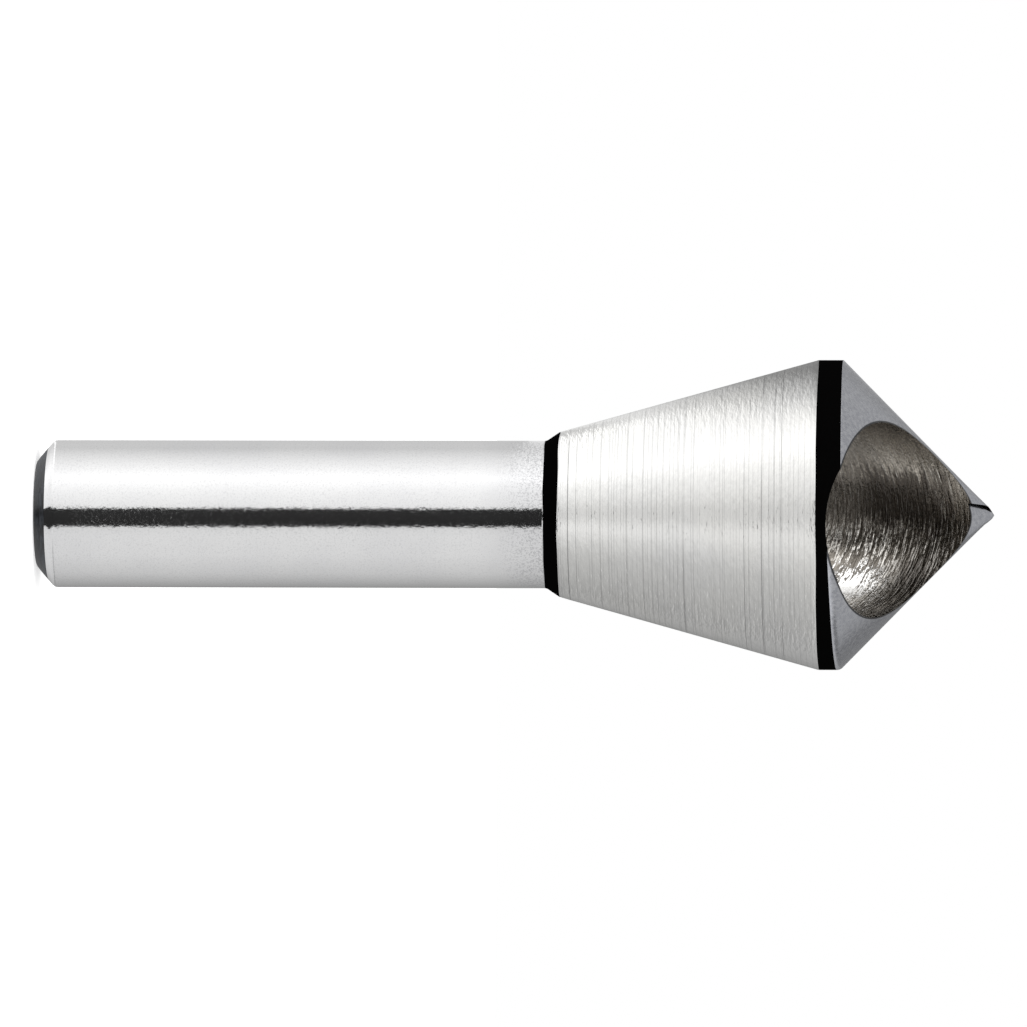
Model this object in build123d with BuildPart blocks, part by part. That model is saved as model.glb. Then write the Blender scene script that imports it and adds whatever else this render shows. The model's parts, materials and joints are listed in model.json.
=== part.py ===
from build123d import *
from math import asin, cos, radians, sin, tan
import os

os.makedirs("parts", exist_ok=True)

# ---------------------------------------------------------------- driving dimensions, millimetres and degrees
overall_length = 65.0       # shank end to the blunted tip
shank_diameter = 10.0       # plain shank, held in a three-jaw chuck or a collet
head_diameter = 21.0        # the land, which is the widest hole the bit can sink
point_angle = 90.0          # included angle swept by the cutting lip
tip_blunting = 0.1          # height missing from the sharp apex

shank_end_facet_axial = 1.2     # lead-in facet at the shank's end, along the axis
shank_end_facet_radial = 1.4    # and across it
shoulder_rise = 0.6         # unground shoulder between shank and back taper, across the axis
shoulder_length = 0.9       # and along it
shoulder_blend = 0.5        # hollow radius where the shank meets the shoulder
back_taper_angle = 15.6     # half angle of the cone that joins shoulder and land
land_length = 1.5           # plain cylinder behind the lip

chip_hole_diameter = 13.2   # oblique cross hole: its rim is the lip, its bore carries the chips away
back_web = 2.2              # metal left between the hole and the far flank of the cone
lip_heading = 10.5          # from the middle of the hole's mouth to the way the straight step at the lip runs
lip_offset = 0.4            # how far that step passes beside the axis
lip_relief = 0.5            # how far the cone has dropped along the axis, one turn behind the lip
tip_run_in = 0.65           # length over which the relief dies out into the tip

relief_arcs = 8             # equal arcs that carry the relief once round the axis
tool_clearance = 1.0        # how far each cutting shape runs past the blank

# ---------------------------------------------------------------- sizes that follow from them
shank_radius = shank_diameter / 2
head_radius = head_diameter / 2
shank_end_radius = shank_radius - shank_end_facet_radial
shoulder_radius = shank_radius + shoulder_rise
flank_angle = point_angle / 2
flank_slope = tan(radians(flank_angle))

apex_height = overall_length + tip_blunting
land_front = apex_height - head_radius / flank_slope
land_back = land_front - land_length
taper_start = land_back - (head_radius - shoulder_radius) / tan(radians(back_taper_angle))
shank_top = taper_start - shoulder_length

# the hole leans as far as the cone's far flank does, so the web behind it is of one thickness
chip_hole_radius = chip_hole_diameter / 2
chip_hole_crossing = apex_height - (chip_hole_radius + back_web) / sin(radians(flank_angle))
chip_hole_lean = Vector(0, -sin(radians(flank_angle)), cos(radians(flank_angle)))

mouth_azimuth = -90.0
relief_base = -tool_clearance
relief_top = apex_height - max(tip_run_in, lip_relief + tip_blunting)


def relief_point(height, turn):
    """Where the relieved cone passes `height`, `turn` of a revolution behind the start of the lip."""
    lip_radius = (apex_height - height) * flank_slope
    radius = lip_radius - lip_relief * flank_slope * turn
    azimuth = radians(mouth_azimuth - lip_heading - 360 * turn) - asin(lip_offset / lip_radius)
    return (radius * cos(azimuth), radius * sin(azimuth))


def relief_section(height):
    """Section of the relieved cone at `height`: one turn of a spiral, closed by the step at the lip."""
    with BuildSketch(Plane.XY.offset(height), mode=Mode.PRIVATE) as section:
        with BuildLine():
            for arc in range(relief_arcs):
                ThreePointArc(
                    relief_point(height, arc / relief_arcs),
                    relief_point(height, (arc + 0.5) / relief_arcs),
                    relief_point(height, (arc + 1) / relief_arcs),
                )
            Line(relief_point(height, 1), relief_point(height, 0))
        make_face()
    return section.sketch


with BuildPart() as countersink_bit:
    # turned blank: shank, shoulder, back taper and the land carried up to where the tip begins
    with BuildSketch(Plane.XZ):
        with BuildLine():
            Polyline(
                (0, 0),
                (shank_end_radius, 0),
                (shank_radius, shank_end_facet_axial),
                (shank_radius, shank_top),
                (shoulder_radius, taper_start),
                (head_radius, land_back),
                (head_radius, relief_top),
                (0, relief_top),
                close=True,
            )
        make_face()
        shoulder_corner = vertices().sort_by_distance((shank_radius, shank_top, 0))[0]
        fillet(shoulder_corner, radius=shoulder_blend)
    revolve(axis=Axis.Z)

    # relieved cone: it sinks steadily towards the shank behind the lip, so only the lip touches the work
    loft([relief_section(relief_base), relief_section(relief_top)], ruled=True, mode=Mode.INTERSECT)

    # the last of the cone closes on one point, which is blunted
    loft([relief_section(relief_top), Vertex(0, 0, apex_height)], ruled=True)
    split(bisect_by=Plane.XY.offset(overall_length), keep=Keep.BOTTOM)

    # oblique chip hole, bored right through: in at the cone, out through the back taper
    with BuildSketch(Plane(origin=(0, 0, chip_hole_crossing), x_dir=(1, 0, 0), z_dir=chip_hole_lean)):
        Circle(chip_hole_radius)
    extrude(amount=overall_length / 2, both=True, mode=Mode.SUBTRACT)

countersink_bit.part.label = "countersink_bit"
export_step(countersink_bit.part, "parts/countersink_bit.step")
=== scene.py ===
# %% [markdown]
# # A cross-hole countersink bit
#
# The bit is one bar of tool steel. A lathe gives it its round form, a drill bores one slanting hole through
# its head, and a grinder brightens most of its skin. Nothing on it comes apart. The lesson builds it the way
# the workshop does: first the turned and relieved form, then the bore, then one finish for each tool that
# touched the steel.
#
# The imported model is loaded first, because it fixes where everything is. Its box is kept.

import bpy
import bmesh
import json
from math import asin, cos, pi, radians, sin
from mathutils import Matrix, Vector, noise

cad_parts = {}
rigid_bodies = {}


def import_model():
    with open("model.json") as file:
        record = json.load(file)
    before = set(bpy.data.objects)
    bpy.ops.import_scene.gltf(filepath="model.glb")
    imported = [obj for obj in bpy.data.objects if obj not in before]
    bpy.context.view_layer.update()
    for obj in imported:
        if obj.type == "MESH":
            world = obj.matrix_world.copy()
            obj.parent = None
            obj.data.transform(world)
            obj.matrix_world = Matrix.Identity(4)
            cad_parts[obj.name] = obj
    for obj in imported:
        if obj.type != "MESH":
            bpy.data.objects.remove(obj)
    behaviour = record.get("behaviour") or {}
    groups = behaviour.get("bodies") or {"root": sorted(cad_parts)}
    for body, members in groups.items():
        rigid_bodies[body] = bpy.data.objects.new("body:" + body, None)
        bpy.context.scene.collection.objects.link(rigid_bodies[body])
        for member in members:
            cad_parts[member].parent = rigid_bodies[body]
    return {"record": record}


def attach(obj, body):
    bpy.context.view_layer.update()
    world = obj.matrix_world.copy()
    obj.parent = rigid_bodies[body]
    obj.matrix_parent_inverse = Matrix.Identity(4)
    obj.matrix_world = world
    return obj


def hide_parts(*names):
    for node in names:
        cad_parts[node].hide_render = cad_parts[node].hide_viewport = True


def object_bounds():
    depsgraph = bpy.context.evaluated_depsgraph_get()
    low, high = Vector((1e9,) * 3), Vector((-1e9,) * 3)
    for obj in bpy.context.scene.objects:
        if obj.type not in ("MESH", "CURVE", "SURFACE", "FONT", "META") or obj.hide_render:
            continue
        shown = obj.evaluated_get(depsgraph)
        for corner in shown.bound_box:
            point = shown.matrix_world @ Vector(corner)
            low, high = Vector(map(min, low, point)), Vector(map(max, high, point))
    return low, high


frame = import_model()
packed_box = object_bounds()
NODE = "countersink_bit"
MM = 0.001

for corner in packed_box:
    print("packed box corner, mm:", [round(c / MM, 3) for c in corner])

# %% [markdown]
# ## The sizes
#
# The shank's size is a promise to the collet that grips it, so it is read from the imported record, where it is
# a mount. The rest are this bit's own sizes. Heights are measured from the shank's end, which stands on the
# floor, and the tip points up. Each is written once, in millimetres, under the name a toolmaker would use.

# %% Sizes in millimetres
shank_mount = [m for m in frame["record"]["mounts"] if m["name"] == "shank"][0]
SHANK_R = shank_mount["dims"]["r_mm"]
END_R = 3.6               # flat end of the shank
FACET_TOP = 1.2           # where the end facet would reach the shank
END_ROUND_TOP = 1.42      # the corner of facet and shank is rounded up to here
SCALE_EDGE_R = 4.55       # the grinding wheel stopped here, so the facet inside it is still dark
SHOULDER_START = 34.5     # a hollow starts to lift off the shank
SHOULDER_BLEND = 0.5      # radius of that hollow
SHOULDER_LEAN = 33.69     # degrees it has turned through when it runs out into a straight flare
TAPER_START, TAPER_R = 35.55, 5.6
LAND_BACK, LAND_R = 53.1, 10.5
APEX = 65.2               # where the flanks would meet if the tip were perfectly sharp
TIP = 65.0                # where it ends
FLANK_SLOPE = 1.0176      # radius gained for each millimetre back from the apex
RELIEF = 0.4              # the cone sinks this much in one turn behind the lip
STEP_HEADING = -100.5     # the step behind the lip runs this way, in degrees round the axis from +X
STEP_OFFSET = 0.62        # and passes the axis at this distance
TIP_SLOPE = 0.62          # the blunt tip falls this much for each millimetre of radius
RELIEF_FADE_R = 0.6       # the relief dies out inside this radius
BORE_R = 6.6
BORE_CROSSING = 52.66     # the bore's axis crosses the bit's axis at this height

print("shank radius from the record, mm:", SHANK_R)

# %% [markdown]
# ## The turned and relieved form
#
# A lathe would give a plain body of revolution, and Blender's Screw modifier could do the same from one
# outline. This head is not quite that. Behind its single lip the cone sinks a little with every degree, so
# that only the lip touches the work. That is called relief, and it makes the outline different at every
# angle.
#
# So the outline is a function of the turn behind the lip, and the mesh is a sheet of such outlines, one
# beside the other. The last one lies beside the first at the same angle but lower, and the quads between them
# are the small step that a real bit shows at its tip.

# %% Three rules that the outline follows
HEEL_EDGE, HEEL_SOFT = 0.04, 0.70    # rounding where cone meets land: at the lip, and what a turn adds
HEEL_GONE = (0.935, 0.04)            # the turn at which it starts to vanish, and how soon it is gone
WANDER, WAVES = 0.07, 2.3            # how far a border strays, and how quickly round the bit


def cone_height(radius, turn):
    """Height of the relieved cone. The relief dies out over the last of the tip, which is slightly blunt."""
    relieved = APEX - radius / FLANK_SLOPE - RELIEF * turn * min(1.0, radius / RELIEF_FADE_R)
    return min(relieved, TIP - TIP_SLOPE * radius)


def heel_round(turn):
    """Size of the rounding where cone meets land: crisp at the lip, softer after it, gone inside the bore."""
    start, span = HEEL_GONE
    inside_bore = min(1.0, max(0.0, (turn - start) / span))
    return HEEL_EDGE + HEEL_SOFT * turn ** 4 * (1 - inside_bore)


def wander(azimuth, height):
    """Sideways drift of a ground border, in millimetres: the wheel stopped unevenly round the bit."""
    return WANDER * noise.noise(Vector((WAVES * cos(azimuth), WAVES * sin(azimuth), height)))


print("cone height 5 mm from the axis, mm:", round(cone_height(5.0, 0.0), 3), "at the lip and",
      round(cone_height(5.0, 1.0), 3), "a turn behind it")

# %% [markdown]
# The outline lists rings from the shank's end to the tip, each with the finish of the skin that follows it.
# On straight lengths the rings only need to be close enough for long thin quads to shade evenly. At the
# rounded corners they stand close together, because there the reflections change fastest.

# %% Outline of the bit at one turn behind the lip
SHANK_ROWS, SHOULDER_ROWS, TAPER_ROWS, HEEL_ROWS, CONE_ROWS = 27, 6, 39, 5, 45
SHANK_FOOT = 1.50         # the long rows of the shank start here, clear of the rounded corner
BORDER = 0.05             # half the height over which the skin passes between scale and ground taper
HEEL_REACH = 0.7          # the heel's rounding goes this much as far up the cone as down the land
LAST_RING_R = 0.02        # the ring next to the tip
CROWDING = 0.85           # below 1 the cone's rings crowd towards the tip


def outline(turn):
    """Points (radius, height) from the shank's end to the tip, each with the finish that follows it."""
    rows = [(0.0, 0.0, "oxide facet"), (END_R - 0.08, 0.0, "oxide facet"), (END_R, 0.03, "oxide facet")]
    facet = FACET_TOP / (SHANK_R - END_R)
    for radius in (3.9, 4.2, SCALE_EDGE_R):
        finish = "oxide facet" if radius < SCALE_EDGE_R else "ground shank"
        rows.append((radius, (radius - END_R) * facet, finish))
    for radius, height in ((4.70, 0.945), (4.84, 1.07), (4.93, 1.17), (4.98, 1.27),
                           (SHANK_R, END_ROUND_TOP), (SHANK_R, SHANK_FOOT)):
        rows.append((radius, height, "ground shank"))
    for k in range(1, SHANK_ROWS + 1):
        rows.append((SHANK_R, SHANK_FOOT + (SHOULDER_START - SHANK_FOOT) * k / SHANK_ROWS, "ground shank"))
    for k in range(1, SHOULDER_ROWS + 1):
        a = radians(SHOULDER_LEAN) * k / SHOULDER_ROWS
        rows.append((SHANK_R + SHOULDER_BLEND * (1 - cos(a)), SHOULDER_START + SHOULDER_BLEND * sin(a),
                     "scale and step shade" if k > 1 else "ground shank"))
    rows.append((TAPER_R - 0.03, TAPER_START - BORDER, "scale and step shade"))
    rows.append((TAPER_R + 0.01, TAPER_START + BORDER, "ground taper"))
    lean = (LAND_R - TAPER_R) / (LAND_BACK - TAPER_START)
    for k in range(1, TAPER_ROWS + 1):
        s = BORDER + (LAND_BACK - TAPER_START - 2 * BORDER) * k / TAPER_ROWS
        rows.append((TAPER_R + lean * s, TAPER_START + s, "ground taper"))
    rows.append((LAND_R, LAND_BACK + BORDER, "scale and step shade"))
    border = APEX - LAND_R / FLANK_SLOPE - RELIEF * turn
    soft = heel_round(turn)
    rows.append((LAND_R, (LAND_BACK + border) / 2, "scale and step shade"))
    for k in range(HEEL_ROWS + 1):
        b = k / HEEL_ROWS
        r = LAND_R - soft * HEEL_REACH * b * b
        z = border - soft * (1 - b) ** 2 + soft * HEEL_REACH / FLANK_SLOPE * b * b
        rows.append((r, z, "ground point"))
    first = rows[-1][0]
    for k in range(1, CONE_ROWS + 1):
        radius = first + (LAST_RING_R - first) * (k / CONE_ROWS) ** CROWDING
        rows.append((radius, cone_height(radius, turn), "ground point"))
    return rows


ROW_FINISHES = [finish for _, _, finish in outline(0.0)]
WANDERING = [k for k in range(1, len(ROW_FINISHES))
             if ROW_FINISHES[k] != ROW_FINISHES[k - 1] and ROW_FINISHES[k] in ("scale and step shade", "ground taper")]
print("rows in one outline:", len(ROW_FINISHES), " rows where a border wanders:", WANDERING)
heel_heights = [round(outline(turn)[-1 - CONE_ROWS][1], 3) for turn in (0.0, 1.0)]
print("cone meets land at, mm:", heel_heights[0], "at the lip and", heel_heights[1], "behind")

# %% [markdown]
# The wheel leaves that step as a straight line that passes beside the axis, so its angle round the axis opens
# towards the tip. Further out the line falls inside the bore, which takes it away. The step's own wall gets the
# dark scale finish as painted shade.

# %% Sheet of outlines, closed into one body
COLUMNS = 336
TIP_SPARE = 0.002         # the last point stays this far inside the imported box
SAME_POINT = 2e-7         # metres: points closer than this are one point
NO_LENGTH = 1e-7          # metres: edges shorter than this are taken out


def step_azimuth(radius):
    """Angle of the lip's step round the axis, at one radius of the cone."""
    return radians(STEP_HEADING) - asin(min(0.93, STEP_OFFSET / max(radius, STEP_OFFSET)))


def turned_body(finishes):
    """Mesh of the bit before it is bored. `finishes` gives each finish its material number."""
    mesh = bpy.data.meshes.new("turned body")
    shape = bmesh.new()
    columns = []
    for c in range(COLUMNS + 1):
        turn = c / COLUMNS
        column = []
        for k, (radius, height, _) in enumerate(outline(turn)):
            azimuth = step_azimuth(radius if height > LAND_BACK else LAND_R) - 2 * pi * turn
            if k in WANDERING:
                height += wander(azimuth, height)
            column.append(shape.verts.new((radius * cos(azimuth) * MM, radius * sin(azimuth) * MM,
                                           height * MM)))
        columns.append(column)
    rim_row = ROW_FINISHES.index("ground point")
    for c in range(COLUMNS + 1):
        here, beside = columns[c], columns[(c + 1) % (COLUMNS + 1)]
        for k, finish in enumerate(ROW_FINISHES[:-1]):
            face = shape.faces.new((here[k], here[k + 1], beside[k + 1], beside[k]))
            # The step's wall gets the dark scale finish as painted shade.
            face.material_index = finishes["scale and step shade" if c == COLUMNS and k > rim_row else finish]
    top = shape.verts.new((0, 0, (TIP - TIP_SPARE) * MM))
    for c in range(COLUMNS + 1):
        face = shape.faces.new((columns[c][-1], top, columns[(c + 1) % (COLUMNS + 1)][-1]))
        face.material_index = finishes["ground point"]
    bmesh.ops.remove_doubles(shape, verts=shape.verts, dist=SAME_POINT)
    bmesh.ops.dissolve_degenerate(shape, edges=shape.edges, dist=NO_LENGTH)
    bmesh.ops.recalc_face_normals(shape, faces=shape.faces)
    loose = [e for e in shape.edges if len(e.link_faces) != 2]
    print("turned body:", len(shape.verts), "points,", len(shape.faces), "faces,", len(loose), "open edges")
    shape.to_mesh(mesh)
    shape.free()
    return mesh


FINISHES = {"oxide facet": 0, "ground shank": 1, "scale and step shade": 2,
            "ground taper": 3, "ground point": 4, "rough bore": 5}
body_mesh = turned_body(FINISHES)

# %% [markdown]
# ## The bore
#
# The slanting hole is what makes this a cutting tool: where it breaks out through the cone its rim is the
# lip, and the chips leave through it. It could be cut with a plain cylinder and given its machining marks in
# a material. But the marks are coarse, they catch the light as ridges and one can feel them, so they are
# shape. The cylinder that cuts the hole is a fine grid whose wall rises and falls along the hole, the way a
# boring tool leaves it, with the ridges broken up where the tool chattered.
#
# The hole leans at 45 degrees, from the back of the taper up to the front of the cone, with its mouth
# towards -Y.

# %% A cylinder that carries the boring marks
BORE_ALONG = Vector((0, -sin(radians(45)), cos(radians(45))))
BORE_SIDE = Vector((-1, 0, 0))
BORE_BACK = BORE_ALONG.cross(BORE_SIDE)
BORE_CENTRE = Vector((0, 0, BORE_CROSSING))
BORING_PITCH, BORING_DRIFT = 0.43, 0.55    # from one ridge to the next, and how far the ridges stray
RIDGE_DEPTH, CHATTER_DEPTH = 0.026, 0.006


def boring_mark(along, around):
    """How far the bore's wall stands in from its nominal size, in millimetres."""
    spot = Vector((along * 0.9, cos(around) * 1.6, sin(around) * 1.6))
    drift = noise.noise(spot * 0.55) * BORING_DRIFT
    pitch = (along + drift) / BORING_PITCH
    ridge = abs((pitch % 1.0) * 2 - 1) ** 2.2
    broken = 0.5 + 0.5 * noise.noise(Vector((along * 1.7 + 7, cos(around) * 5.5, sin(around) * 5.5)))
    chatter = noise.noise(Vector((along * 2.6, cos(around) * 19, sin(around) * 19 + 3)))
    return RIDGE_DEPTH * ridge * broken + CHATTER_DEPTH * (chatter + 0.5)


def boring_cylinder(low, high, rows, spokes):
    mesh = bpy.data.meshes.new("boring cylinder")
    shape = bmesh.new()
    rings = []
    for k in range(rows + 1):
        along = low + (high - low) * k / rows
        ring = []
        for c in range(spokes):
            around = 2 * pi * c / spokes
            reach = BORE_R - boring_mark(along, around)
            outward = BORE_SIDE * cos(around) + BORE_BACK * sin(around)
            ring.append(shape.verts.new((BORE_CENTRE + BORE_ALONG * along + outward * reach) * MM))
        rings.append(ring)
    for k in range(rows):
        for c in range(spokes):
            d = (c + 1) % spokes
            face = shape.faces.new((rings[k][c], rings[k][d], rings[k + 1][d], rings[k + 1][c]))
            face.material_index = FINISHES["rough bore"]
    shape.faces.new(list(reversed(rings[0]))).material_index = FINISHES["rough bore"]
    shape.faces.new(rings[-1]).material_index = FINISHES["rough bore"]
    bmesh.ops.recalc_face_normals(shape, faces=shape.faces)
    shape.to_mesh(mesh)
    shape.free()
    return mesh


cutter_mesh = boring_cylinder(low=-19.0, high=17.0, rows=380, spokes=252)
print("boring cylinder:", len(cutter_mesh.polygons), "faces")

# %% [markdown]
# A Boolean modifier takes the cylinder away from the body. Blender offers a fast solver and an exact one.
# Both want closed shapes, which these are. The result is applied at once, so the piece that is left is an
# ordinary mesh, and the cylinder is thrown away.

# %% Bore the head
bit = bpy.data.objects.new("countersink_bit_steel", body_mesh)
cutter = bpy.data.objects.new("boring_cylinder", cutter_mesh)
for thing in (bit, cutter):
    bpy.context.scene.collection.objects.link(thing)
for finish in FINISHES:
    label = bpy.data.materials.new("slot for " + finish)
    body_mesh.materials.append(label)
    cutter_mesh.materials.append(label)

boring = bit.modifiers.new("bore", "BOOLEAN")
boring.operation = "DIFFERENCE"
boring.object = cutter
boring.solver = "MANIFOLD"
bored = bpy.data.meshes.new_from_object(bit.evaluated_get(bpy.context.evaluated_depsgraph_get()))
bit.modifiers.clear()
bit.data = bored
bpy.data.objects.remove(cutter)
print("bored body:", len(bored.vertices), "points,", len(bored.polygons), "faces, finishes:",
      sorted({p.material_index for p in bored.polygons}))

# %% [markdown]
# Curved skin should shade smoothly while real edges stay crisp, so every edge that turns by more than 24
# degrees is marked sharp and the rest are smoothed.

# %% Smooth skin, crisp edges
SHARP_DEGREES = 24

for polygon in bored.polygons:
    polygon.use_smooth = True
bored.set_sharp_from_angle(angle=radians(SHARP_DEGREES))
sharp = sum(a.value for a in bored.attributes["sharp_edge"].data)
print("sharp edges:", sharp)

# %% [markdown]
# ## Effects that several finishes share
#
# Each tool leaves its own marks, but they are of a few kinds: rings left by something that turned against the
# bit, an even grain, and a soft uneven film from handling. Each kind is a node group, built once. A material
# then places it with its own numbers. The groups give out only values, and the shader stays in the material.

# %% Helpers for building node groups
def new_group(name, inputs, outputs):
    group = bpy.data.node_groups.new(name, "ShaderNodeTree")
    for label, kind, default in inputs:
        socket = group.interface.new_socket(name=label, in_out="INPUT", socket_type=kind)
        if default is not None:
            socket.default_value = default
    for label in outputs:
        group.interface.new_socket(name=label, in_out="OUTPUT", socket_type="NodeSocketFloat")
    return group, group.nodes.new("NodeGroupInput"), group.nodes.new("NodeGroupOutput")


def feed(tree, socket, value):
    """Link `value` to the socket if it comes from a node, or set it if it is a number."""
    if hasattr(value, "is_linked"):
        tree.links.new(value, socket)
    else:
        socket.default_value = value


def math_node(tree, operation, *values):
    node = tree.nodes.new("ShaderNodeMath")
    node.operation = operation
    for socket, value in zip(node.inputs, values):
        feed(tree, socket, value)
    return node.outputs[0]


def remap(tree, value, low, high, to_low=0.0, to_high=1.0, curve="SMOOTHSTEP"):
    """Turn `value` from the range low to high into to_low to to_high, and hold it there beyond the ends."""
    node = tree.nodes.new("ShaderNodeMapRange")
    node.interpolation_type = curve
    feed(tree, node.inputs["Value"], value)
    feed(tree, node.inputs["From Min"], low)
    feed(tree, node.inputs["From Max"], high)
    node.inputs["To Min"].default_value = to_low
    node.inputs["To Max"].default_value = to_high
    return node.outputs["Result"]


def noise_at(tree, place, detail, roughness):
    node = tree.nodes.new("ShaderNodeTexNoise")
    tree.links.new(place, node.inputs["Vector"])
    node.inputs["Scale"].default_value = 1.0
    node.inputs["Detail"].default_value = detail
    node.inputs["Roughness"].default_value = roughness
    return node.outputs["Fac"]


print("helpers ready")

# %% [markdown]
# Rings run round the bit's axis. A scratch ring is as thin at one place as at another, and what changes along
# it is how deep it cuts. So the height is counted in pitches, unevenly, and the middle of each pitch holds
# one thin line with a depth of its own. A noise that is drawn out round the axis fades the lines in and out.
# Another one, at a finer pitch, gives the short strokes of a coarse wheel.

# %% Group: rings round the axis
rings, rings_in, rings_out = new_group(
    "Rings round the axis",
    [("Place mm", "NodeSocketVector", None), ("Rings per mm", "NodeSocketFloat", 2.2),
     ("Line width", "NodeSocketFloat", 0.07), ("Strokes per mm", "NodeSocketFloat", 4.0),
     ("Stroke length mm", "NodeSocketFloat", 1.0)],
    ["Scratch", "Stroke", "Height"],
)
axes = rings.nodes.new("ShaderNodeSeparateXYZ")
rings.links.new(rings_in.outputs["Place mm"], axes.inputs[0])


def drawn_out(along, around):
    joined = rings.nodes.new("ShaderNodeCombineXYZ")
    for k, stretch in enumerate((around, around, along)):
        rings.links.new(math_node(rings, "MULTIPLY", axes.outputs[k], stretch), joined.inputs[k])
    return joined.outputs[0]


def ring_lines(per_mm, width):
    """One thin ring in every pitch, unevenly spaced, with a depth of its own that fades on its way round."""
    drift = noise_at(rings, drawn_out(math_node(rings, "MULTIPLY", per_mm, 0.37), 0.0), 1.0, 0.5)
    pitch = math_node(rings, "MULTIPLY_ADD", axes.outputs[2], per_mm,
                      math_node(rings, "MULTIPLY", drift, 3.0))
    across_pitch = math_node(rings, "FRACT", pitch)
    off_middle = math_node(rings, "ABSOLUTE", math_node(rings, "SUBTRACT", across_pitch, 0.5))
    own = rings.nodes.new("ShaderNodeTexWhiteNoise")
    own.noise_dimensions = "1D"
    rings.links.new(math_node(rings, "FLOOR", pitch), own.inputs["W"])
    fade = remap(rings, noise_at(rings, drawn_out(per_mm, 0.10), 1.0, 0.5), 0.25, 0.55, 0.25, 1.0)
    depth = math_node(rings, "MULTIPLY", math_node(rings, "POWER", own.outputs["Value"], 1.2), fade)
    return math_node(rings, "MULTIPLY", remap(rings, off_middle, width, 0.0), depth)


per_mm, width = rings_in.outputs["Rings per mm"], rings_in.outputs["Line width"]
bold = ring_lines(per_mm, width)
faint = ring_lines(math_node(rings, "MULTIPLY", per_mm, 2.3), math_node(rings, "MULTIPLY", width, 2.0))
scratch = math_node(rings, "MAXIMUM", bold, math_node(rings, "MULTIPLY", faint, 0.5))
around = math_node(rings, "DIVIDE", 1.0, rings_in.outputs["Stroke length mm"])
stroke = noise_at(rings, drawn_out(rings_in.outputs["Strokes per mm"], around), 2.0, 0.6)
rings.links.new(scratch, rings_out.inputs["Scratch"])
rings.links.new(stroke, rings_out.inputs["Stroke"])
rings.links.new(math_node(rings, "SUBTRACT", stroke, math_node(rings, "MULTIPLY", scratch, 0.08)),
                rings_out.inputs["Height"])
print("group:", rings.name)

# %% [markdown]
# An even grain is left where a wheel or a tumbling barrel frosted the metal, and a handling film is a slow
# change from fingers and oil. Both are plain noise at a known size, so the material can say how many grains
# it has to a millimetre.

# %% Groups: even grain and handling film
def scaled_place(group, place, factor):
    node = group.nodes.new("ShaderNodeVectorMath")
    node.operation = "SCALE"
    group.links.new(place, node.inputs[0])
    feed(group, node.inputs["Scale"], factor)
    return node.outputs[0]


grain, grain_in, grain_out = new_group(
    "Even grain",
    [("Place mm", "NodeSocketVector", None), ("Grains per mm", "NodeSocketFloat", 3.0)],
    ["Grain"],
)
fine_place = scaled_place(grain, grain_in.outputs["Place mm"], grain_in.outputs["Grains per mm"])
grain.links.new(noise_at(grain, fine_place, 3.0, 0.62), grain_out.inputs["Grain"])

film, film_in, film_out = new_group(
    "Handling film",
    [("Place mm", "NodeSocketVector", None), ("Patch mm", "NodeSocketFloat", 8.0)],
    ["Film"],
)
patches_per_mm = math_node(film, "DIVIDE", 1.0, film_in.outputs["Patch mm"])
wide_place = scaled_place(film, film_in.outputs["Place mm"], patches_per_mm)
film.links.new(remap(film, noise_at(film, wide_place, 4.0, 0.55), 0.35, 0.7), film_out.inputs["Film"])
print("groups:", grain.name, "and", film.name)

# %% [markdown]
# ## The finishes
#
# Every finish starts from the same few nodes: the place on the bit in millimetres, a Principled shader and a
# Bump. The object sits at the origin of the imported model, so its object coordinates are the bit's own, and a
# mark stays where it is on the steel from whatever side it is seen.

# %% Start of every finish
def start_finish(name, metallic):
    material = bpy.data.materials.new(name)
    material.use_nodes = True
    tree = material.node_tree
    tree.nodes.clear()
    shader = tree.nodes.new("ShaderNodeBsdfPrincipled")
    shader.inputs["Metallic"].default_value = metallic
    output = tree.nodes.new("ShaderNodeOutputMaterial")
    tree.links.new(shader.outputs[0], output.inputs["Surface"])
    where = tree.nodes.new("ShaderNodeTexCoord")
    return material, tree, shader, scaled_place(tree, where.outputs["Object"], 1 / MM)


def place_group(tree, group, place, **numbers):
    node = tree.nodes.new("ShaderNodeGroup")
    node.node_tree = group
    tree.links.new(place, node.inputs["Place mm"])
    for label, number in numbers.items():
        node.inputs[label.replace("_", " ")].default_value = number
    return node.outputs


def blend_colours(tree, share, first, second):
    node = tree.nodes.new("ShaderNodeMix")
    node.data_type = "RGBA"
    for socket, colour in ((node.inputs["A"], first), (node.inputs["B"], second)):
        if hasattr(colour, "is_linked"):
            tree.links.new(colour, socket)
        else:
            socket.default_value = (*colour, 1.0)
    tree.links.new(share, node.inputs["Factor"])
    return node.outputs["Result"]


def height_on_bit(tree, place):
    parts = tree.nodes.new("ShaderNodeSeparateXYZ")
    tree.links.new(place, parts.inputs[0])
    return parts.outputs[2]


def raise_skin(tree, shader, height, microns):
    bump = tree.nodes.new("ShaderNodeBump")
    bump.inputs["Strength"].default_value = 1.0
    bump.inputs["Distance"].default_value = microns * 1e-6
    tree.links.new(height, bump.inputs["Height"])
    tree.links.new(bump.outputs["Normal"], shader.inputs["Normal"])


print("finish helpers ready")
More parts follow.
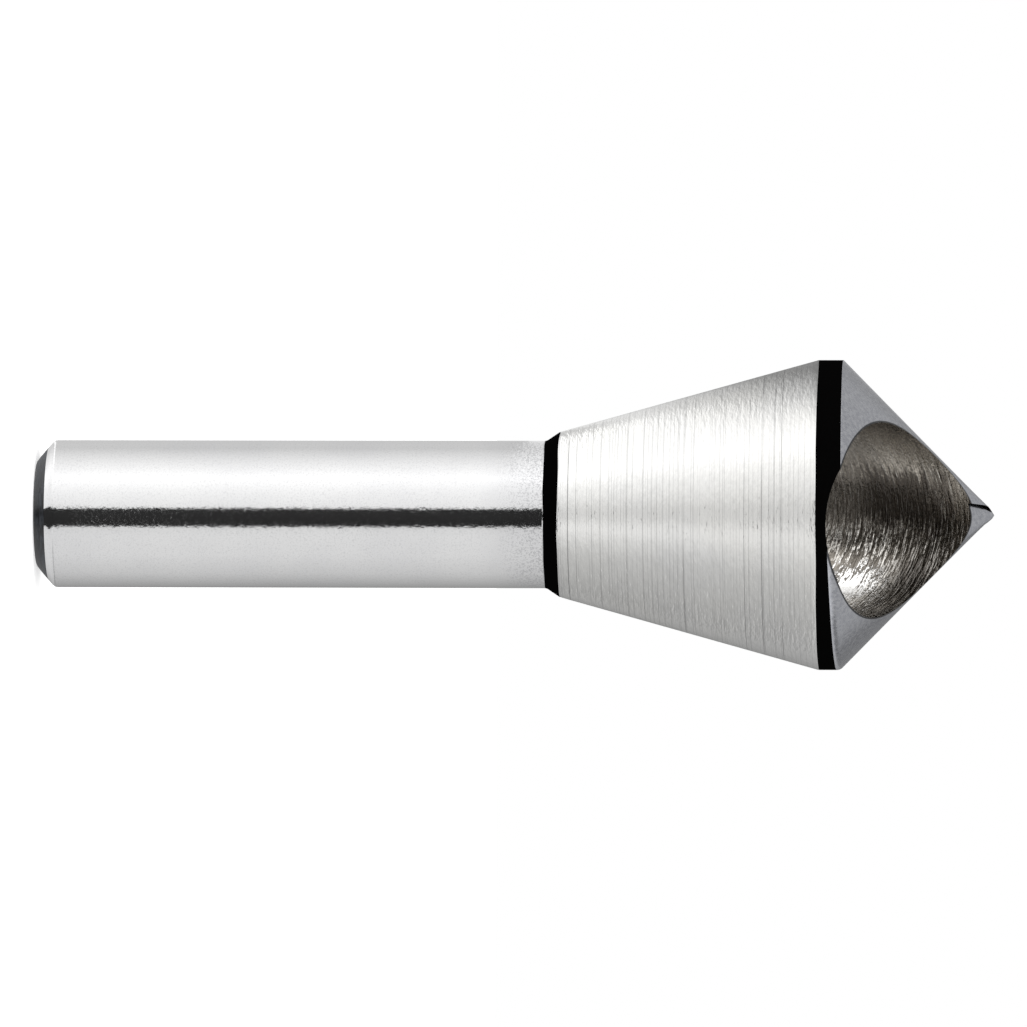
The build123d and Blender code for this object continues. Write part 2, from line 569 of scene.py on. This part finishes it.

# %% [markdown]
# ### Ground shank
#
# The shank is ground between centres to a close size, and it is the brightest part. It mirrors the room
# softly. Where a dark thing is mirrored its edge is slightly ragged, because the ground skin has a fine
# waviness, so a small grain goes to the bump. The rings are too fine to see one by one and only break the
# mirror a little. The last few millimetres before the shoulder are darker, in patches.

# %% Finish: ground shank
ground_shank, tree, shader, place = start_finish("ground shank", 1.0)
turned = place_group(tree, rings, place, Rings_per_mm=4.0, Line_width=0.06,
                     Strokes_per_mm=6.0, Stroke_length_mm=0.5)
frost = place_group(tree, grain, place, Grains_per_mm=3.4)
smudge = place_group(tree, film, place, Patch_mm=7.0)
speckle = place_group(tree, grain, place, Grains_per_mm=8.0)
even = blend_colours(tree, smudge["Film"], (0.675, 0.675, 0.675), (0.64, 0.64, 0.645))
clean = blend_colours(tree, remap(tree, speckle["Grain"], 0.52, 0.30, 0.0, 0.32), even, (0.46, 0.46, 0.47))
COLLAR_START = 30.0       # the shank gets darker from here to the shoulder
collar = math_node(tree, "MULTIPLY", remap(tree, height_on_bit(tree, place), COLLAR_START, SHOULDER_START),
                   remap(tree, speckle["Grain"], 0.44, 0.62))
darker_near_shoulder = blend_colours(tree, math_node(tree, "MULTIPLY", collar, 0.7), clean, (0.34, 0.34, 0.35))
lined = blend_colours(tree, math_node(tree, "MULTIPLY", turned["Scratch"], 0.12), darker_near_shoulder, (0.3, 0.3, 0.3))
tree.links.new(lined, shader.inputs["Base Color"])
tree.links.new(remap(tree, frost["Grain"], 0.3, 0.7, 0.06, 0.12), shader.inputs["Roughness"])
raise_skin(tree, shader, math_node(tree, "MULTIPLY_ADD", turned["Stroke"], 0.5, frost["Grain"]), 8.0)
print("finish:", ground_shank.name)

# %% [markdown]
# ### Ground taper
#
# The back of the head only has to clear the work, so it is ground quickly with a coarse wheel. That leaves
# rings one can count, thin dark scratches that run the whole way round, and short strokes that give a frosted
# look where the light is brightest. The steel is a little brighter at the narrow end.

# %% Finish: ground taper
ground_taper, tree, shader, place = start_finish("ground taper", 1.0)
turned = place_group(tree, rings, place, Rings_per_mm=2.1, Line_width=0.09,
                     Strokes_per_mm=4.2, Stroke_length_mm=0.8)
smudge = place_group(tree, film, place, Patch_mm=9.0)
GRADE_START, GRADE_END = 36.0, 47.0      # the steel changes from its narrow-end tone between these heights
graded = blend_colours(tree, remap(tree, height_on_bit(tree, place), GRADE_START, GRADE_END, curve="LINEAR"),
                       (0.71, 0.707, 0.690), (0.675, 0.67, 0.65))
plain = blend_colours(tree, math_node(tree, "MULTIPLY", smudge["Film"], 0.5), graded, (0.64, 0.64, 0.64))
worn = blend_colours(tree, remap(tree, turned["Stroke"], 0.56, 0.38, 0.0, 0.10), plain, (0.36, 0.36, 0.36))
lined = blend_colours(tree, math_node(tree, "MULTIPLY", turned["Scratch"], 0.9), worn, (0.16, 0.16, 0.16))
tree.links.new(lined, shader.inputs["Base Color"])
tree.links.new(remap(tree, turned["Stroke"], 0.3, 0.7, 0.14, 0.24), shader.inputs["Roughness"])
raise_skin(tree, shader, turned["Height"], 40.0)
print("finish:", ground_taper.name)

# %% [markdown]
# ### Ground point
#
# The cone is ground last, with a fine wheel, because its surface ends in the cutting lip. It is smooth and a
# little blue. Along the bore's rim runs a hair-thin painted band: a painted highlight on the land's side, and
# painted shade towards the tip. The distance of a point from the bore's axis finds that band, and one turned set
# of coordinates serves for that and for the bore itself.

# %% Finish: ground point
def place_in_bore(tree, place):
    """The place seen by the boring tool: across, back and along its own axis, in millimetres."""
    moved = tree.nodes.new("ShaderNodeVectorMath")
    moved.operation = "SUBTRACT"
    tree.links.new(place, moved.inputs[0])
    moved.inputs[1].default_value = BORE_CENTRE
    joined = tree.nodes.new("ShaderNodeCombineXYZ")
    numbers = []
    for k, direction in enumerate((BORE_SIDE, BORE_BACK, BORE_ALONG)):
        dot = tree.nodes.new("ShaderNodeVectorMath")
        dot.operation = "DOT_PRODUCT"
        tree.links.new(moved.outputs[0], dot.inputs[0])
        dot.inputs[1].default_value = direction
        tree.links.new(dot.outputs["Value"], joined.inputs[k])
        numbers.append(dot.outputs["Value"])
    return joined.outputs[0], numbers


ground_point, tree, shader, place = start_finish("ground point", 1.0)
turned = place_group(tree, rings, place, Rings_per_mm=5.0, Line_width=0.05,
                     Strokes_per_mm=6.0, Stroke_length_mm=0.4)
frost = place_group(tree, grain, place, Grains_per_mm=4.0)
plain = blend_colours(tree, remap(tree, frost["Grain"], 0.3, 0.7), (0.45, 0.46, 0.50), (0.61, 0.62, 0.65))
_, (across, back, along) = place_in_bore(tree, place)
from_axis = math_node(tree, "SQRT", math_node(tree, "ADD", math_node(tree, "POWER", across, 2.0),
                                              math_node(tree, "POWER", back, 2.0)))
# Painted highlight and painted shade: the rim band is near white on the land's side and near black towards the
# tip.
rim = remap(tree, from_axis, BORE_R + 0.13, BORE_R + 0.07, 0.0, 0.9)
highlit_side_of_rim = remap(tree, math_node(tree, "SUBTRACT", math_node(tree, "MULTIPLY", across, 0.5), along), 0.0, 1.2)
painted_rim_highlight_and_shade = blend_colours(tree, highlit_side_of_rim, (0.03, 0.03, 0.03), (0.97, 0.97, 0.95))
tree.links.new(blend_colours(tree, rim, plain, painted_rim_highlight_and_shade), shader.inputs["Base Color"])
tree.links.new(remap(tree, frost["Grain"], 0.3, 0.7, 0.24, 0.34), shader.inputs["Roughness"])
raise_skin(tree, shader, math_node(tree, "MULTIPLY_ADD", turned["Height"], 0.4, frost["Grain"]), 10.0)
print("finish:", ground_point.name)

# %% [markdown]
# ### Black scale and the oxide facet
#
# Heat treatment leaves a black oxide scale on the whole bar, and the wheels take it off everywhere but in the
# hollow of the shoulder and on the land. The same dark finish on the wall of the step is painted shade. Scale is
# an oxide, not bare metal, so it is not metallic: nearly black, dull and slightly pitted. The facet at the
# shank's end is the same oxide worn thinner, so it is a dark blue grey with faint turning lines.

# %% Finishes: scale with step shade, and oxide facet
scale_and_step_shade, tree, shader, place = start_finish("scale and step shade", 0.0)
frost = place_group(tree, grain, place, Grains_per_mm=6.0)
tree.links.new(blend_colours(tree, frost["Grain"], (0.0008, 0.0008, 0.0008), (0.0022, 0.0020, 0.0020)),
               shader.inputs["Base Color"])
tree.links.new(remap(tree, frost["Grain"], 0.3, 0.7, 0.75, 0.95), shader.inputs["Roughness"])
shader.inputs["Specular IOR Level"].default_value = 0.01
shader.inputs["IOR"].default_value = 1.1
raise_skin(tree, shader, frost["Grain"], 8.0)

oxide_facet, tree, shader, place = start_finish("oxide facet", 0.0)
turned = place_group(tree, rings, place, Rings_per_mm=5.0, Line_width=0.2,
                     Strokes_per_mm=6.0, Stroke_length_mm=0.8)
plain = blend_colours(tree, remap(tree, turned["Stroke"], 0.38, 0.62),
                      (0.008, 0.009, 0.012), (0.060, 0.067, 0.078))
lined = blend_colours(tree, math_node(tree, "MULTIPLY", turned["Scratch"], 0.8), plain, (0.004, 0.004, 0.005))
tree.links.new(lined, shader.inputs["Base Color"])
tree.links.new(remap(tree, turned["Stroke"], 0.3, 0.7, 0.38, 0.55), shader.inputs["Roughness"])
shader.inputs["Specular IOR Level"].default_value = 0.25
raise_skin(tree, shader, turned["Height"], 12.0)
print("finishes:", scale_and_step_shade.name, "and", oxide_facet.name)

# %% [markdown]
# ### Rough bore
#
# Inside the hole the steel is as the boring tool and the furnace left it: brown-grey and ridged. The ridges
# are already in the mesh. The material adds the finer tearing between them, and its coordinates are the
# boring tool's own, so that every line follows the hole and not the bit. The wall comes first: a brown with
# painted light on the upper side and painted shade near the mouth and on the lower side.

# %% Rough bore: the wall, with painted light and shade
rough_bore, tree, shader, place = start_finish("rough bore", 1.0)
inside, (across, _, along) = place_in_bore(tree, place)
turned = place_group(tree, rings, inside, Rings_per_mm=2.6, Line_width=0.16,
                     Strokes_per_mm=3.6, Stroke_length_mm=1.3)
frost = place_group(tree, grain, place, Grains_per_mm=4.0)


def product(first, *others):
    """Values multiplied together. A mask made this way holds only where all of its parts hold."""
    for other in others:
        first = math_node(tree, "MULTIPLY", first, other)
    return first


brown = blend_colours(tree, remap(tree, frost["Grain"], 0.3, 0.7), (0.20, 0.18, 0.155), (0.33, 0.30, 0.26))
# Painted light: the upper side of the wall is made lighter. Painted shade: it is made darker near the mouth and
# on the lower side.
upper_side = product(remap(tree, across, 1.8, 3.6), remap(tree, along, -1.0, 2.5, 0.0, 0.8))
painted_light_upper_side = blend_colours(tree, upper_side, brown, (0.52, 0.48, 0.42))
near_mouth = product(remap(tree, along, 4.0, 5.8, 0.0, 0.85), remap(tree, across, 4.2, 2.2, 0.1, 1.0),
                     remap(tree, along, 7.4, 6.6, 0.4, 1.0))
painted_shade_near_mouth = blend_colours(tree, near_mouth, painted_light_upper_side, (0.07, 0.06, 0.05))
lower_side = product(remap(tree, across, -0.8, -2.4, 0.0, 0.6), remap(tree, along, -4.2, -2.4, 0.3, 1.0))
wall_painted_light_and_shade = blend_colours(tree, lower_side, painted_shade_near_mouth, (0.075, 0.066, 0.056))
print("bare wall of the bore ready")

# %% [markdown]
# The tool's rings are broken into light streaks, because it skipped where the steel tore. Between them lie
# painted glints: bright specks where the torn crests would catch the light. Both follow the same short
# strokes, so they stay together as they do on the steel.

# %% Rough bore: streaks and painted glints
torn = math_node(tree, "ADD", remap(tree, frost["Grain"], 0.3, 0.7, -1.2, 1.2, "LINEAR"),
                 remap(tree, turned["Stroke"], 0.3, 0.7, -1.8, 1.8, "LINEAR"))
streaks = product(turned["Scratch"], remap(tree, turned["Stroke"], 0.42, 0.60))
streaked = blend_colours(tree, streaks, wall_painted_light_and_shade, (0.84, 0.81, 0.75))
# Painted glints: bright specks in the colour of the wall's lower side.
painted_glint_zone = product(remap(tree, across, -0.4, -2.0), remap(tree, along, 3.4, -0.4, 0.30, 1.0),
                     remap(tree, along, -3.4, -2.2, 0.5, 1.0))
painted_glints = product(remap(tree, torn, 0.22, 0.55), painted_glint_zone)
with_painted_glints = blend_colours(tree, painted_glints, streaked, (0.92, 0.89, 0.84))
print("streaks and flecks ready")

# %% [markdown]
# Painted shade darkens three places most: a band along the far wall, a smaller patch below it and a spot
# beside the rim. A straight border would look painted, so each border is pushed about by the torn pattern.

# %% Rough bore: painted shade in three places
# Painted shade: the band, the low patch and the spot by the rim are darkened in colour.
ragged = math_node(tree, "MULTIPLY", torn, 0.35)
ragged_across = math_node(tree, "ADD", across, ragged)
ragged_along = math_node(tree, "ADD", along, ragged)
off_band = math_node(tree, "ABSOLUTE", math_node(tree, "SUBTRACT", across, 0.9))
band = product(remap(tree, math_node(tree, "ADD", off_band, ragged), 2.5, 1.2),
               remap(tree, ragged_along, 6.4, 4.4), remap(tree, along, -3.0, -0.4, 0.55, 1.0))
low_patch = product(remap(tree, ragged_across, -2.3, -3.3), remap(tree, ragged_across, -5.4, -4.5),
                    remap(tree, ragged_along, 2.4, 3.8, 0.0, 0.8), remap(tree, along, 6.0, 4.8, 0.2, 1.0))
at_rim = product(remap(tree, ragged_across, -5.7, -6.2, 0.0, 0.8), remap(tree, along, 1.4, 2.6),
                 remap(tree, along, 4.2, 3.4))
painted_shade_places = math_node(tree, "MAXIMUM", band, math_node(tree, "MAXIMUM", low_patch, at_rim))
with_painted_shade_places = blend_colours(tree, painted_shade_places, with_painted_glints, (0.068, 0.059, 0.050))
print("heated places ready")

# %% [markdown]
# A painted highlight lies on the wall opposite the lip: a near-white patch in the colour. Its border is a
# scatter of bright specks, pushed about by the torn pattern. The bump is weaker inside the patch.

# %% Rough bore: the painted highlight, and the finish as a whole
# Painted highlight: a near-white patch of colour on the wall opposite the lip, with speckled borders.
side = math_node(tree, "MULTIPLY_ADD", across, -0.95, math_node(tree, "MULTIPLY", along, 0.11))
highlight_reach = remap(tree, math_node(tree, "ADD", side, math_node(tree, "MULTIPLY", torn, 0.6)), 3.45, 4.1)
painted_highlight_patch = product(highlight_reach, remap(tree, math_node(tree, "ADD", along, torn), 2.1, 0.8))
tree.links.new(blend_colours(tree, painted_highlight_patch, with_painted_shade_places, (0.96, 0.95, 0.93)), shader.inputs["Base Color"])
tree.links.new(remap(tree, frost["Grain"], 0.3, 0.7, 0.12, 0.28), shader.inputs["Roughness"])
wall = math_node(tree, "MULTIPLY_ADD", turned["Height"], 1.6,
                 math_node(tree, "MULTIPLY", frost["Grain"], 0.5))
raise_skin(tree, shader, product(wall, remap(tree, painted_highlight_patch, 0.0, 1.0, 1.0, 0.40)), 52.0)
print("finish:", rough_bore.name)

# %% [markdown]
# ## Dress the bit
#
# The finishes go into the slots that the mesh already uses, in the same order. Then the piece takes the
# imported solid's place: it rides on the only body and hides the plain solid.

# %% Put the finishes on and tie the piece to the imported model
finish_materials = {"oxide facet": oxide_facet, "ground shank": ground_shank, "scale and step shade": scale_and_step_shade,
                    "ground taper": ground_taper, "ground point": ground_point, "rough bore": rough_bore}
for finish, slot_number in FINISHES.items():
    bored.materials[slot_number] = finish_materials[finish]
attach(bit, "root")
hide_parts(NODE)
print("finishes on", bit.name + ":", [m.name for m in bored.materials])

# %% [markdown]
# ## The studio
#
# Bright steel has no colour of its own to show: it shows the room. So the room is part of the picture. It is
# white all round, seen by the camera and by the mirror-like skin alike. The light that it throws on the bit
# is a little weaker, which leaves something for the lamps to do.

# %% Room
scene = bpy.context.scene
scene.view_settings.view_transform = "Standard"


def seen_directly(tree):
    """1 for what the eye, a mirror or glass sees, and 0 for the light that falls on the bit."""
    rays = tree.nodes.new("ShaderNodeLightPath")
    mirror_or_glass = math_node(tree, "MAXIMUM", rays.outputs["Is Glossy Ray"],
                                rays.outputs["Is Transmission Ray"])
    return math_node(tree, "MAXIMUM", rays.outputs["Is Camera Ray"], mirror_or_glass)


PLAIN_LIGHT = 0.75        # strength of the room for the light that falls on the bit

world = bpy.data.worlds.new("white room")
scene.world = world
world.use_nodes = True
room_tree = world.node_tree
room_tree.nodes.clear()
room = room_tree.nodes.new("ShaderNodeBackground")
room.inputs["Color"].default_value = (1, 1, 1, 1)
feed(room_tree, room.inputs["Strength"],
     remap(room_tree, seen_directly(room_tree), 0.0, 1.0, PLAIN_LIGHT, 1.0, "LINEAR"))
world_end = room_tree.nodes.new("ShaderNodeOutputWorld")
room_tree.links.new(room.outputs[0], world_end.inputs["Surface"])
print("room:", world.name)

# %% [markdown]
# The floor is pale, keeps the bit's soft shadow, and is left out of the reflections, so that the steel meets
# the same white below as all round. It gives off a little light of its own towards the camera, so that it
# comes close to the white behind it.

# %% Floor
FLOOR_GREY, FLOOR_GLOW = 0.62, 0.6


def start_stage_material(name):
    material = bpy.data.materials.new(name)
    material.use_nodes = True
    material.node_tree.nodes.clear()
    output = material.node_tree.nodes.new("ShaderNodeOutputMaterial")
    return material, material.node_tree, output.inputs["Surface"]


def stage_object(name, shape, material):
    mesh = bpy.data.meshes.new(name)
    shape.to_mesh(mesh)
    shape.free()
    mesh.materials.append(material)
    thing = bpy.data.objects.new(name, mesh)
    scene.collection.objects.link(thing)
    return thing


pale_floor, tree, surface = start_stage_material("pale floor")
matt = tree.nodes.new("ShaderNodeBsdfDiffuse")
matt.inputs["Color"].default_value = (FLOOR_GREY, FLOOR_GREY, FLOOR_GREY, 1.0)
glow = tree.nodes.new("ShaderNodeEmission")
feed(tree, glow.inputs["Strength"], remap(tree, seen_directly(tree), 0.0, 1.0, 0.0, FLOOR_GLOW, "LINEAR"))
added = tree.nodes.new("ShaderNodeAddShader")
tree.links.new(matt.outputs[0], added.inputs[0])
tree.links.new(glow.outputs[0], added.inputs[1])
tree.links.new(added.outputs[0], surface)

shape = bmesh.new()
bmesh.ops.create_circle(shape, cap_ends=True, radius=0.6, segments=96)
floor = stage_object("floor", shape, pale_floor)
floor.visible_glossy = False
print("floor:", floor.name)

# %% [markdown]
# A card is a piece of a tall cylinder round the bit. Directions on it are counted from the lens, positive
# towards the picture's upper side. The shank is a mirror bent into a cylinder, so it shows a card at half its
# angle. What a card gives off changes smoothly from one direction to the next, as under a real softbox: a
# list of stops says how much it gives at which direction, and two stops at the same direction make a hard
# border. A glow of 1 is the white of the room, and a softbox goes above it.

# %% How a card is made
LENS_AZIMUTH = -94.19     # direction of the lens from the bit, in degrees from +X
CARD_STEP = 4             # degrees between neighbouring columns of a card, about

card_glow, tree, surface = start_stage_material("card glow")
given = tree.nodes.new("ShaderNodeAttribute")
given.attribute_name = "glow"
glow = tree.nodes.new("ShaderNodeEmission")
tree.links.new(given.outputs["Fac"], glow.inputs["Strength"])
tree.links.new(glow.outputs[0], surface)


def reflection_only(thing):
    for flag in ("visible_camera", "visible_diffuse", "visible_shadow", "visible_transmission"):
        setattr(thing, flag, False)


def card(name, stops, *edges):
    """Card between edges, each given as its distance and height. A stop is a direction in degrees and the
    glow there, either one number or one for each edge."""
    shape = bmesh.new()
    layer = shape.verts.layers.float.new("glow")
    for (start, *first), (stop, *last) in zip(stops, stops[1:]):
        steps = max(1, round((stop - start) / CARD_STEP))
        columns = []
        for k in range(steps + 1):
            azimuth = radians(LENS_AZIMUTH - start - (stop - start) * k / steps)
            column = []
            for n, (distance, z) in enumerate(edges):
                here, there = first[n % len(first)], last[n % len(last)]
                point = shape.verts.new((distance * cos(azimuth) * MM, distance * sin(azimuth) * MM, z * MM))
                point[layer] = here + (there - here) * k / steps
                column.append(point)
            columns.append(column)
        if stop > start:
            for here, there in zip(columns, columns[1:]):
                for n in range(len(edges) - 1):
                    shape.faces.new((here[n], there[n], there[n + 1], here[n + 1]))
    reflection_only(stage_object(name, shape, card_glow))


print("card helper ready")

# %% [markdown]
# The shank mirrors only what stands level with it. The back taper leans, so it mirrors what stands lower.
# That is why there are two far cards, one above the other. The upper one has a black gap where the lens
# stands, and that gap is the dark line along the shank. The same pattern lies flat under the shank's end,
# where the bright rim of the facet looks, so that the line runs on to the facet. A nearer card on the
# softbox's side, 40 mm out and level with the taper, gets darker towards the head, and so does the upper
# flank of the taper that mirrors it. The last one stands behind the point.

# %% Cards that only reflections see
CARD_DISTANCE = 400.0
NEAR_DISTANCE = 40.0      # of the card beside the taper
LEVEL_LOW, LEVEL_HIGH = -62.0, 110.0     # heights of the card that is level with the shank
FLAT_HEIGHT, FLAT_REACH = -2.5, 17.0     # of the card that lies under the shank's end
GAP_LOW, GAP_HIGH = -19.8, 8.7           # directions between which the upper card is black

ROUND_THE_SHANK = [
    (-180, 0.22), (-140, 0.53), (-124, 0.66), (-106, 0.81), (-67, 0.99), (-35, 1.03), (GAP_LOW, 0.97),
    (GAP_LOW, 0.03), (GAP_HIGH, 0.04), (GAP_HIGH, 1.18), (32, 1.34), (58, 1.62), (75, 1.40), (101, 1.11),
    (124, 0.85), (140, 0.82), (180, 0.6)]
card("card_level_with_shank", ROUND_THE_SHANK, (CARD_DISTANCE, LEVEL_LOW), (CARD_DISTANCE, LEVEL_HIGH))
card("card_under_shank_end", ROUND_THE_SHANK, (0.1, FLAT_HEIGHT), (FLAT_REACH, FLAT_HEIGHT))
card("black_strip_under_shank_end", [(GAP_LOW, 0.03), (GAP_HIGH, 0.03)],
     (FLAT_REACH, FLAT_HEIGHT), (36.0, FLAT_HEIGHT))
card("card_below_for_taper",
     [(-180, 0.40), (-131, 0.46), (-95, 0.60), (-56, 0.76), (-34, 1.00), (-18, 1.25), (-4, 0.95),
      (7, 0.98), (17, 1.15), (38, 1.42), (60, 1.80), (85, 1.65), (117, 1.60), (140, 1.75, 1.75, 1.20),
      (165, 1.80, 1.80, 1.00), (180, 0.6)],
     (CARD_DISTANCE, -480.0), (CARD_DISTANCE, -110.0), (CARD_DISTANCE, LEVEL_LOW))
card("card_beside_taper",
     [(48, 1.80, 1.80, 1.80, 1.80), (58, 1.77, 1.70, 1.60, 1.60), (76, 1.68, 1.35, 1.05, 0.90),
      (95, 1.52, 1.00, 0.60, 0.40), (113, 1.27, 0.85, 0.42, 0.25), (130, 1.14, 0.80, 0.32, 0.18),
      (148, 1.10, 0.84, 0.36, 0.18), (175, 0.80, 0.60, 0.30, 0.18)],
     (NEAR_DISTANCE, 31.5), (NEAR_DISTANCE, 38.0), (NEAR_DISTANCE, 45.0), (NEAR_DISTANCE, 57.0))
card("card_behind_the_point", [(80, 0.50), (150, 0.44), (185, 0.27), (280, 0.22)],
     (CARD_DISTANCE, LEVEL_HIGH), (CARD_DISTANCE, 262.0))

# %% [markdown]
# The cone leans at 45 degrees to the lens, so it mirrors what is over the tip and behind it. A grey ceiling
# there gives it the calm mid grey of a ground flank, darker towards the side away from the softbox. A nearly
# black disc, 40 mm below the shank's end, is what the bore's far wall looks down at, and it keeps the hole
# deep.

# %% Grey ceiling over the tip, black disc under the bit
CEILING_GLOW, CEILING_DROP = 0.53, 0.30    # and how much less it gives in its far corner
DISC_GLOW = 0.10

shape = bmesh.new()
layer = shape.verts.layers.float.new("glow")
bmesh.ops.create_grid(shape, x_segments=45, y_segments=45, size=0.9, matrix=Matrix.Translation((0, 0, 0.26)))
for point in shape.verts:
    aside = min(1.0, max(0.0, (point.co.x - 0.05) / 0.1))
    behind = min(1.0, max(0.0, (point.co.y - 0.15) / 0.12))
    point[layer] = CEILING_GLOW - CEILING_DROP * aside * behind
reflection_only(stage_object("grey_ceiling", shape, card_glow))

shape = bmesh.new()
layer = shape.verts.layers.float.new("glow")
bmesh.ops.create_circle(shape, cap_ends=True, radius=0.055, segments=48,
                        matrix=Matrix.Translation((0, 0, -0.04)))
for point in shape.verts:
    point[layer] = DISC_GLOW
reflection_only(stage_object("black_disc_below", shape, card_glow))
print("ceiling and disc ready")

# %% [markdown]
# ## Lamps
#
# The white room does most of the lighting. One large lamp on the softbox's side gives the shadow a direction,
# and a weaker one opposite keeps it soft.

# %% Lamps
def soft_lamp(name, location, size, power):
    lamp = bpy.data.lights.new(name, "AREA")
    lamp.shape = "DISK"
    lamp.size = size
    lamp.energy = power
    thing = bpy.data.objects.new(name, lamp)
    scene.collection.objects.link(thing)
    thing.location = location
    thing.rotation_euler = (Vector((0, 0, 0.03)) - Vector(location)).to_track_quat("-Z", "Y").to_euler()
    thing.visible_glossy = False


soft_lamp("key_lamp", (-0.45, -0.30, 0.55), 0.4, 3.2)
soft_lamp("fill_lamp", (0.45, -0.35, 0.45), 0.5, 1.2)

# %% [markdown]
# ## The camera
#
# The bit stands on its shank, and a roll of the camera by a quarter turn lays it down with the tip to the
# right. The camera stands 854 mm away with a long lens, turned by three degrees so that the tip comes
# slightly forward. Its own axes are built from those angles. The focal length is counted in pixels of the
# view, and the lens in millimetres follows from it and the width of the sensor.

# %% Camera
FRAME_PX = 1027           # width of the view in pixels
FOCUS_PX = 12580          # focal length in the same pixels
SENSOR_MM = 36.0
YAW, ROLL = radians(2.9065), radians(0.1084)
SHIFT_RIGHT, SHIFT_DOWN, DISTANCE = 0.1044, 0.0651, 853.70

tip_way = Vector((0, 0, 1))
lens_way = Vector((cos(radians(LENS_AZIMUTH)), sin(radians(LENS_AZIMUTH)), 0))
picture_up = tip_way.cross(lens_way) * -1
level_right = tip_way * cos(YAW) - lens_way * sin(YAW)
look = tip_way * -sin(YAW) - lens_way * cos(YAW)
right = level_right * cos(ROLL) + picture_up * sin(ROLL)
up = picture_up * cos(ROLL) - level_right * sin(ROLL)
middle = Vector((0, 0, 32.5))
stand = middle - right * SHIFT_RIGHT + up * SHIFT_DOWN - look * DISTANCE

lens = bpy.data.cameras.new("camera")
lens.sensor_width = SENSOR_MM
lens.lens = SENSOR_MM * FOCUS_PX / FRAME_PX
lens.clip_start, lens.clip_end = 0.05, 5.0
camera = bpy.data.objects.new("camera", lens)
scene.collection.objects.link(camera)
camera.matrix_world = Matrix((
    (right.x, up.x, -look.x, stand.x * MM),
    (right.y, up.y, -look.y, stand.y * MM),
    (right.z, up.z, -look.z, stand.z * MM),
    (0, 0, 0, 1),
))
scene.camera = camera
print("lens, mm:", round(lens.lens, 1), " camera at, mm:", [round(c, 1) for c in stand])

# %% [markdown]
# ## Compare the boxes and finish
#
# The dressed bit keeps to the imported one, because that is what other parts are fitted to. The imported mesh has
# flat facets, so across the land its box is a few thousandths of a millimetre smaller than the true round.

# %% Print the imported box and finish
bpy.context.view_layer.update()
print("packed  box, mm:", [[round(v / MM, 3) for v in c] for c in packed_box])
